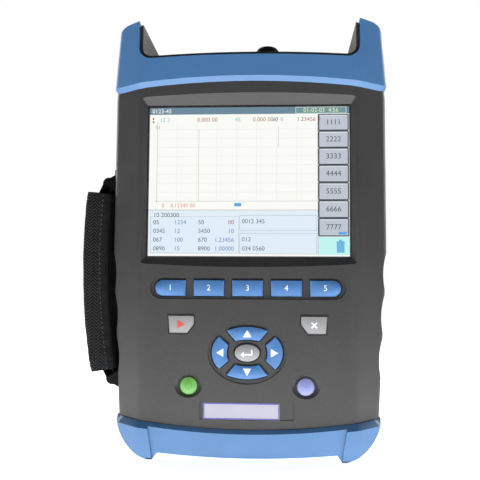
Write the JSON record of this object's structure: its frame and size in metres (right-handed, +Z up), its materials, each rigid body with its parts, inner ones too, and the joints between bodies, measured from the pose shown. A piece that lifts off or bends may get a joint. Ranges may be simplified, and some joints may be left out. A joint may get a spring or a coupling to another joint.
{
  "type": "optical time domain reflectometer",
  "caption": "Hand-held optical time domain reflectometer with bumpered casing, display, keypad, capped test port, side strap and tilt stand.",
  "frame": {"origin": "on the ground, in the middle of the whole instrument across (strap included) and front to back; the casing's own middle plane is at x = +0.00875 m", "axes": "+X to the right of someone facing the display (the strap is at -X), +Y from the display to the back, +Z up"},
  "size_m": [0.1783, 0.07, 0.2485],
  "materials": {
    "casing_grey": "fine-textured dark grey moulded plastic",
    "bumper_blue": "satin mid-blue elastomer",
    "clear_lens": "clear flat lens",
    "black_plastic": "matt black plastic",
    "display_white": "backlit display face",
    "key_blue": "satin blue key caps",
    "key_grey": "satin light grey key caps",
    "key_green": "satin green key cap",
    "key_violet": "satin violet key cap",
    "black_rubber": "matt black rubber",
    "board_green": "circuit board with green resist",
    "label_white": "white film with a blue rim",
    "nickel": "nickel-plated brass",
    "module_metal": "folded aluminium box",
    "battery_grey": "shrink-wrapped cells",
    "strap_fabric": "black padded woven sleeve",
    "strap_webbing": "black woven webbing",
    "black_steel": "black powder-coated steel",
    "steel": "plated steel"
  },
  "bodies": {
    "casing": {"front_shell": "casing_grey", "back_shell": "casing_grey", "top_bumper": "bumper_blue", "bottom_bumper": "bumper_blue", "screen_lens": "clear_lens", "screen_gasket": "black_plastic", "display_module": "display_white", "keypad_mat": "black_rubber", "keypad_board": "board_green", "label_plate": "label_white", "main_board": "board_green", "board_spacers": "nickel", "optical_module": "module_metal", "battery_pack": "battery_grey", "battery_door": "casing_grey", "stand_hinge_pins": "steel", "connector_panel": "black_plastic", "test_port": "nickel", "visual_port": "nickel", "data_socket": "nickel", "power_jack": "black_plastic", "strap_pad": "strap_fabric", "strap_webbing": "strap_webbing", "upper_strap_anchor": "black_steel", "lower_strap_anchor": "black_steel", "casing_screws": "steel", "battery_door_screws": "steel"},
    "soft_key_1": {"soft_key_1": "key_blue"},
    "soft_key_2": {"soft_key_2": "key_blue"},
    "soft_key_3": {"soft_key_3": "key_blue"},
    "soft_key_4": {"soft_key_4": "key_blue"},
    "soft_key_5": {"soft_key_5": "key_blue"},
    "start_key": {"start_key": "key_grey"},
    "escape_key": {"escape_key": "key_grey"},
    "arrow_up_key": {"arrow_up_key": "key_blue"},
    "arrow_down_key": {"arrow_down_key": "key_blue"},
    "arrow_left_key": {"arrow_left_key": "key_blue"},
    "arrow_right_key": {"arrow_right_key": "key_blue"},
    "enter_key": {"enter_key": "key_grey"},
    "power_key": {"power_key": "key_green"},
    "light_key": {"light_key": "key_violet"},
    "test_port_cap": {"test_port_cap": "black_rubber"},
    "visual_port_cap": {"visual_port_cap": "black_rubber"},
    "port_cover": {"port_cover": "black_rubber"},
    "tilt_stand": {"tilt_stand": "black_plastic"}
  },
  "joints": [
    {"name": "soft_key_1_press", "type": "slide", "parent": "casing", "child": "soft_key_1", "axis": [0, 1, 0], "range_m": [0, 0.001], "stiffness_N_per_m": 400},
    {"name": "soft_key_2_press", "type": "slide", "parent": "casing", "child": "soft_key_2", "axis": [0, 1, 0], "range_m": [0, 0.001], "stiffness_N_per_m": 400},
    {"name": "soft_key_3_press", "type": "slide", "parent": "casing", "child": "soft_key_3", "axis": [0, 1, 0], "range_m": [0, 0.001], "stiffness_N_per_m": 400},
    {"name": "soft_key_4_press", "type": "slide", "parent": "casing", "child": "soft_key_4", "axis": [0, 1, 0], "range_m": [0, 0.001], "stiffness_N_per_m": 400},
    {"name": "soft_key_5_press", "type": "slide", "parent": "casing", "child": "soft_key_5", "axis": [0, 1, 0], "range_m": [0, 0.001], "stiffness_N_per_m": 400},
    {"name": "start_press", "type": "slide", "parent": "casing", "child": "start_key", "axis": [0, 1, 0], "range_m": [0, 0.001], "stiffness_N_per_m": 400},
    {"name": "escape_press", "type": "slide", "parent": "casing", "child": "escape_key", "axis": [0, 1, 0], "range_m": [0, 0.001], "stiffness_N_per_m": 400},
    {"name": "arrow_up_press", "type": "slide", "parent": "casing", "child": "arrow_up_key", "axis": [0, 1, 0], "range_m": [0, 0.001], "stiffness_N_per_m": 400},
    {"name": "arrow_down_press", "type": "slide", "parent": "casing", "child": "arrow_down_key", "axis": [0, 1, 0], "range_m": [0, 0.001], "stiffness_N_per_m": 400},
    {"name": "arrow_left_press", "type": "slide", "parent": "casing", "child": "arrow_left_key", "axis": [0, 1, 0], "range_m": [0, 0.001], "stiffness_N_per_m": 400},
    {"name": "arrow_right_press", "type": "slide", "parent": "casing", "child": "arrow_right_key", "axis": [0, 1, 0], "range_m": [0, 0.001], "stiffness_N_per_m": 400},
    {"name": "enter_press", "type": "slide", "parent": "casing", "child": "enter_key", "axis": [0, 1, 0], "range_m": [0, 0.001], "stiffness_N_per_m": 400},
    {"name": "power_press", "type": "slide", "parent": "casing", "child": "power_key", "axis": [0, 1, 0], "range_m": [0, 0.001], "stiffness_N_per_m": 400},
    {"name": "light_press", "type": "slide", "parent": "casing", "child": "light_key", "axis": [0, 1, 0], "range_m": [0, 0.001], "stiffness_N_per_m": 400},
    {"name": "test_port_cap_pull", "type": "slide", "parent": "casing", "child": "test_port_cap", "axis": [0, 0, 1], "range_m": [0, 0.03]},
    {"name": "visual_port_cap_pull", "type": "slide", "parent": "casing", "child": "visual_port_cap", "axis": [0, 0, 1], "range_m": [0, 0.03]},
    {"name": "port_cover_flip", "type": "hinge", "parent": "casing", "child": "port_cover", "pos_m": [0.04925, -0.001, 0.228], "axis": [0, 1, 0], "range_deg": [0, 90]},
    {"name": "stand_swing", "type": "hinge", "parent": "casing", "child": "tilt_stand", "pos_m": [0.00875, 0.0283, 0.137], "axis": [1, 0, 0], "range_deg": [0, 50]}
  ]
}
